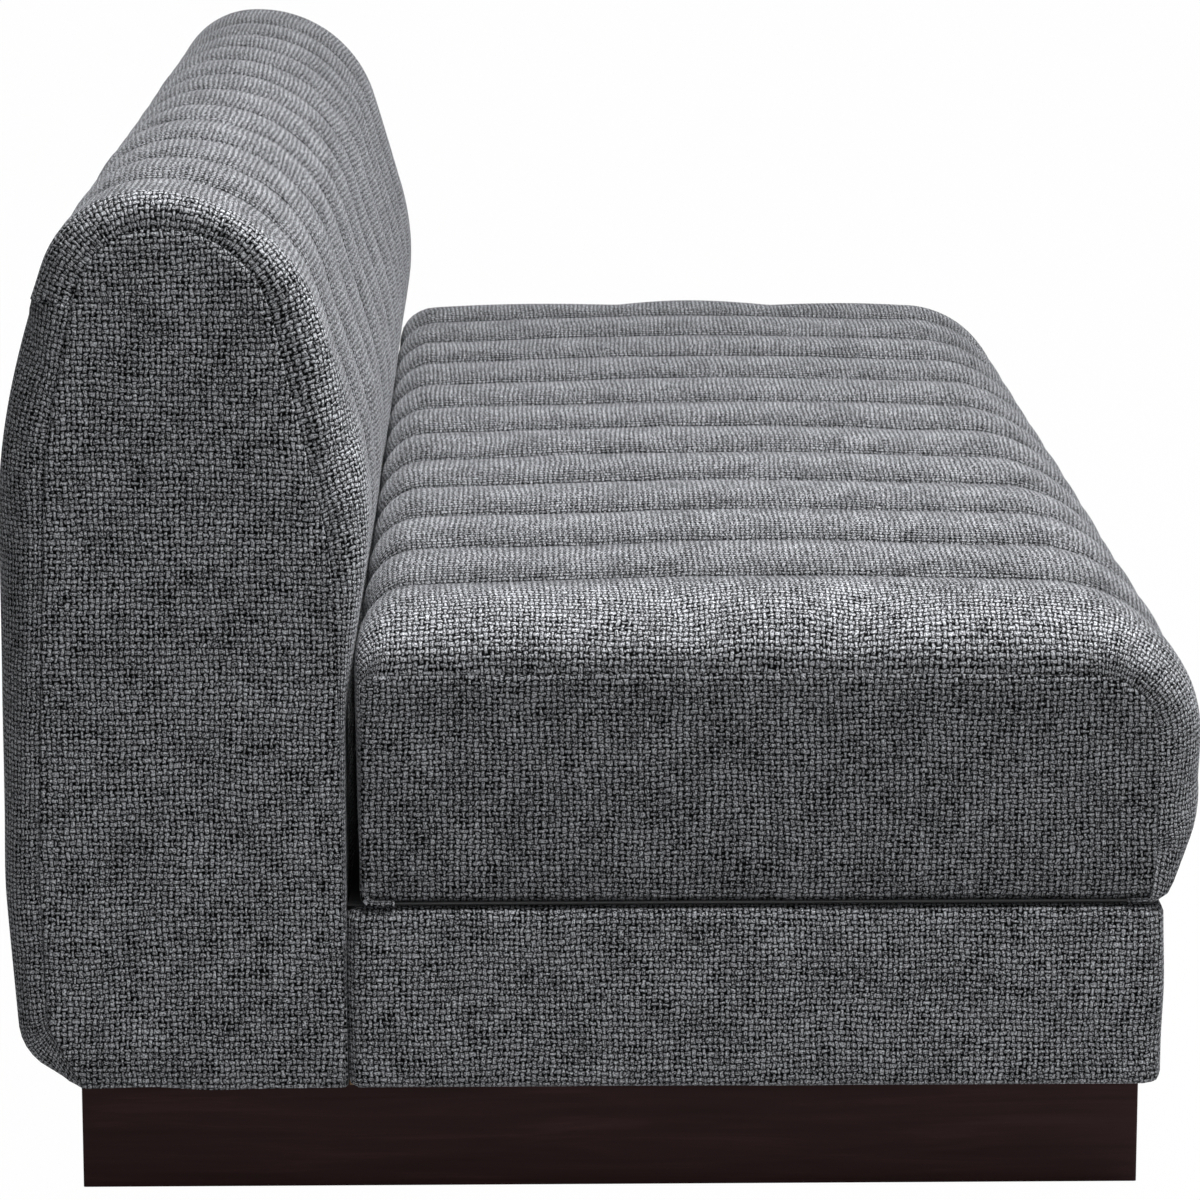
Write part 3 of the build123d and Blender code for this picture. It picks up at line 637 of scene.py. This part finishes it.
# Rear panel: one plain width of the weave from the cross seam down the rear of the back,
# pulled under its foot and stapled there.
rear_crown = side_line((30.8, 702, 0), (0, 593, 700), (0, 252, 450), (11, 108, 42), (56, 90.5, 0))
rear_edge = side_line((63, 702, 0), (40, 590, 500), (29, 270, 600), (33, 140, 50), (60, 90.5, 0))
points, cloth, rear_seam = quilted_cover(
    rear_crown,
    rear_edge,
    roll=0.058,
    seams=np.array([]),
    plump=0.0,
    groove=0.0,
    pinch=0.0,
    step=0.0085,
    seed=21,
)
points, cloth = turned_in(points, cloth, last=False, depth=0.008)
rear_panel = grid_piece("back_rear_cloth", points, cloth, chenille)
give_wall(rear_panel, cover_wall)
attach(rear_panel, "sofa_frame")
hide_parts("back_rear_panel")


# End panels of the back: a flat arched piece of the weave at each end, sewn in all round its arch
# and stapled under the foot, where its edge runs a little uneven.
def arched_panel(side, arch, foot, rows, curl, hang, seed, turn_weave, painted_shade):
    """A panel ruled from its arched seam down to a straight foot.

    It lies seam_dip metres in at the seam and comes out within 5 mm of it, with slight dents. Over the
    last 30 mm it curls in by curl metres towards the foot, whose edge wanders down by up to twice hang
    metres, and a last strip at the seam and at the foot turns in. The weave may lie turned, and the whole
    panel is darkened by one amount of painted shade.
    """
    crowding, first_row = 1.25, 0.0012
    dent_height, pucker_height = 0.0012, 0.0008
    foot_height, flat_strip, dip_width = 0.03, 0.03, 0.005
    seam_fold, foot_fold = 0.012, 0.014
    share = np.linspace(0, 1, len(arch))[:, None]
    foot_line = foot[0] + (foot[1] - foot[0]) * share
    down = np.insert(np.linspace(0, 1, rows) ** crowding, 1, first_row)
    level = arch[:, None] + (foot_line - arch)[:, None] * down[None, :, None]
    run = np.linalg.norm(foot_line - arch, axis=1)[:, None] * down[None, :]
    near_foot = np.clip(1 - (level[..., 1] - foot[0, 1]) / foot_height, 0, 1)
    out = dent_height * rumple(level[..., 0] / 0.08, level[..., 1] / 0.11, seed)
    out = out + pucker_height * np.exp(-run / 0.02) * rumple(share * 60, run / 0.03, seed + 1)
    dip = seam_dip * np.clip(1 - run / dip_width, 0, 1) ** 2
    out = out * np.clip(run / flat_strip, 0, 1) - dip - curl * near_foot**2.5
    wander = hang * near_foot * (rumple(level[..., 0] / 0.05, 0 * run, seed + 2) - 1)
    level = level + np.stack([0 * run, wander], axis=-1)
    x = side * (end + out)
    points = np.concatenate([x[..., None], level], axis=-1)
    cloth = level[..., ::-1] if turn_weave else level
    cloth = np.concatenate([cloth, np.full((*run.shape, 1), painted_shade)], axis=-1)
    at_seam, at_foot = points[:, :1], points[:, -1:]
    points = np.concatenate(
        [at_seam - [side * seam_fold, 0, 0], points, at_foot - [side * foot_fold, 0, 0]], axis=1
    )
    flat_only = np.array([1, 1, 0])
    cloth = np.concatenate(
        [cloth[:, :1] + seam_fold * flat_only, cloth, cloth[:, -1:] - foot_fold * flat_only], axis=1
    )
    return points, cloth


arch = np.concatenate([back_seam, rear_seam[1:]])
foot = np.stack([arch[0], arch[-1]])
for name, node, side in (
    ("back_left_end", "back_left_panel", -1),
    ("back_right_end", "back_right_panel", 1),
):
    points, cloth = arched_panel(
        side, arch, foot, rows=60, curl=0.004, hang=0.002, seed=31 + side, turn_weave=False, painted_shade=0.0
    )
    if side > 0:
        points, cloth = points[:, ::-1], cloth[:, ::-1]
    panel = grid_piece(name, points, cloth, chenille)
    give_wall(panel, cover_wall)
    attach(panel, "sofa_frame")
    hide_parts(node)


# Seat cushion: a loose box cushion whose cover has the same twelve channels over the top and down the
# front. It is filled tight with foam, so its top is crowned and its front edge bellies out.
seat_crown = side_line(
    (301, 235.8, 0),
    (277, 235.8, 14),
    (277, 461, 38),
    (590, 470, 3000),
    (913, 461, 106),
    (924, 302, 90),
    (898, 235.8, 14),
    (866, 235.8, 0),
)
seat_edge = side_line(
    (301, 235.8, 0),
    (276, 235.8, 8),
    (276, 415, 12),
    (590, 417, 3000),
    (887, 413, 50),
    (888, 277, 100),
    (884, 235.8, 6),
    (866, 235.8, 0),
)
points, cloth, seat_seam = quilted_cover(
    seat_crown,
    seat_edge,
    roll=0.115,
    seams=channel_seams,
    plump=0.005,
    groove=0.0165,
    pinch=0.001,
    step=0.0085,
    seed=41,
)
seat_quilt = grid_piece("seat_channels", points, cloth, chenille)
give_wall(seat_quilt, cover_wall)
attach(seat_quilt, "seat_cushion")
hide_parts("seat_channel_cover")


# End panels of the cushion: one plain box side of the weave at each end, turned a quarter round on the roll
# and sewn in along the top, front and rear. The seam's level run under the cushion is no part of the arch.
under_level, level_change = 0.2375, 0.0005
keep = (seat_seam[:, 1] > under_level) | (np.abs(np.gradient(seat_seam[:, 1])) > level_change)
arch = seat_seam[keep]
foot = np.stack([arch[0], arch[-1]])
for name, node, side in (
    ("seat_left_end", "seat_left_panel", -1),
    ("seat_right_end", "seat_right_panel", 1),
):
    # Painted shade: the cushion's end panels are darkened evenly by 0.3 of its full share.
    points, cloth = arched_panel(
        side, arch, foot, rows=34, curl=0.008, hang=0.0, seed=51 + side, turn_weave=True, painted_shade=0.3
    )
    if side < 0:
        points, cloth = points[:, ::-1], cloth[:, ::-1]
    panel = grid_piece(name, points, cloth, chenille)
    give_wall(panel, cover_wall)
    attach(panel, "seat_cushion")
    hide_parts(node)


# Underside of the cushion: a plain panel of lining cloth, sewn in between the cover's turned edges.
# It lies on the deck and shows only when the cushion is lifted.
end_inset, panel_front, panel_rear, panel_rise = 0.003, 0.884, 0.278, 0.0012
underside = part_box("seat_bottom_panel")[0][2]
low = (-end + end_inset, rear_face - panel_front, underside)
high = (end - end_inset, rear_face - panel_rear, underside + panel_rise)
points, cloth = tight_sheet(low, high, step=0.02, sag=-0.0004)
under_panel = grid_piece("seat_underside", points[:, ::-1], cloth[:, ::-1], lining_cloth)
give_wall(under_panel, thickness=0.0008)
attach(under_panel, "seat_cushion")
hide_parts("seat_bottom_panel")


# Floor and light: a white studio floor that keeps the sofa's shadow, a wide soft lamp overhead,
# and a weak even light from all round.
camera_share, floor_half, floor_marks = 0.99, 30, 13
finish, tree, shader = start_finish("studio_floor", {"Roughness": 0.9, "Base Color": (0.5, 0.5, 0.5, 1)})
path = shader_node(tree, "ShaderNodeLightPath")
glow = shader_node(tree, "ShaderNodeEmission", {"Color": (1, 1, 1, 1), "Strength": 1.0})
seen = sums(tree, "MULTIPLY", path.outputs["Is Camera Ray"], camera_share)
mix = shader_node(tree, "ShaderNodeMixShader", {0: seen, 1: shader.outputs[0], 2: glow.outputs[0]})
tree.links.new(mix.outputs[0], tree.nodes["Material Output"].inputs["Surface"])
marks = np.linspace(-floor_half, floor_half, floor_marks)
x, y = np.meshgrid(marks, marks, indexing="ij")
ground = grid_piece("studio_ground", np.stack([x, y, 0 * x], axis=-1), np.stack([x, y], axis=-1), finish)

even_light = 0.115
world = bpy.data.worlds.new("studio_air")
bpy.context.scene.world = world
world.use_nodes = True
tree = world.node_tree
path = shader_node(tree, "ShaderNodeLightPath")
clear = sums(tree, "MAXIMUM", path.outputs["Is Camera Ray"], path.outputs["Is Glossy Ray"])
clear = sums(tree, "MAXIMUM", clear, path.outputs["Is Transmission Ray"])
tree.nodes["Background"].inputs["Color"].default_value = (1, 1, 1, 1)
strength = sums(tree, "MULTIPLY_ADD", clear, 1 - even_light, even_light)
tree.links.new(strength, tree.nodes["Background"].inputs["Strength"])


def soft_lamp(name, place, aim, width, depth, power):
    """A flat soft lamp that faces its aim."""
    lamp = bpy.data.lights.new(name, "AREA")
    lamp.shape = "RECTANGLE"
    lamp.size, lamp.size_y, lamp.energy = width, depth, power
    held = bpy.data.objects.new(name, lamp)
    held.location = place
    held.rotation_euler = (Vector(aim) - Vector(place)).to_track_quat("-Z", "Y").to_euler()
    bpy.context.scene.collection.objects.link(held)


soft_lamp("overhead_lamp", place=(-0.6, -0.8, 2.9), aim=(-0.3, 0.0, 0.4), width=2.4, depth=1.4, power=172)


# Camera: it stands beyond the left end, above the crest, and looks along the sofa and a little down.
# Its place and lens were fitted to lines of the photograph.
camera = bpy.data.cameras.new("end_view")
camera.lens, camera.sensor_width, camera.clip_end = 149.67, 36, 100
viewer = bpy.data.objects.new("end_view", camera)
stand, aim = Vector((-4.5765, 0.0706, 1.2193)), Vector((-0.8516, 0.0013, 0.4718))
viewer.location = stand
viewer.rotation_euler = (aim - stand).to_track_quat("-Z", "Y").to_euler()
bpy.context.scene.collection.objects.link(viewer)
bpy.context.scene.camera = viewer
bpy.context.scene.view_settings.view_transform = "Standard"
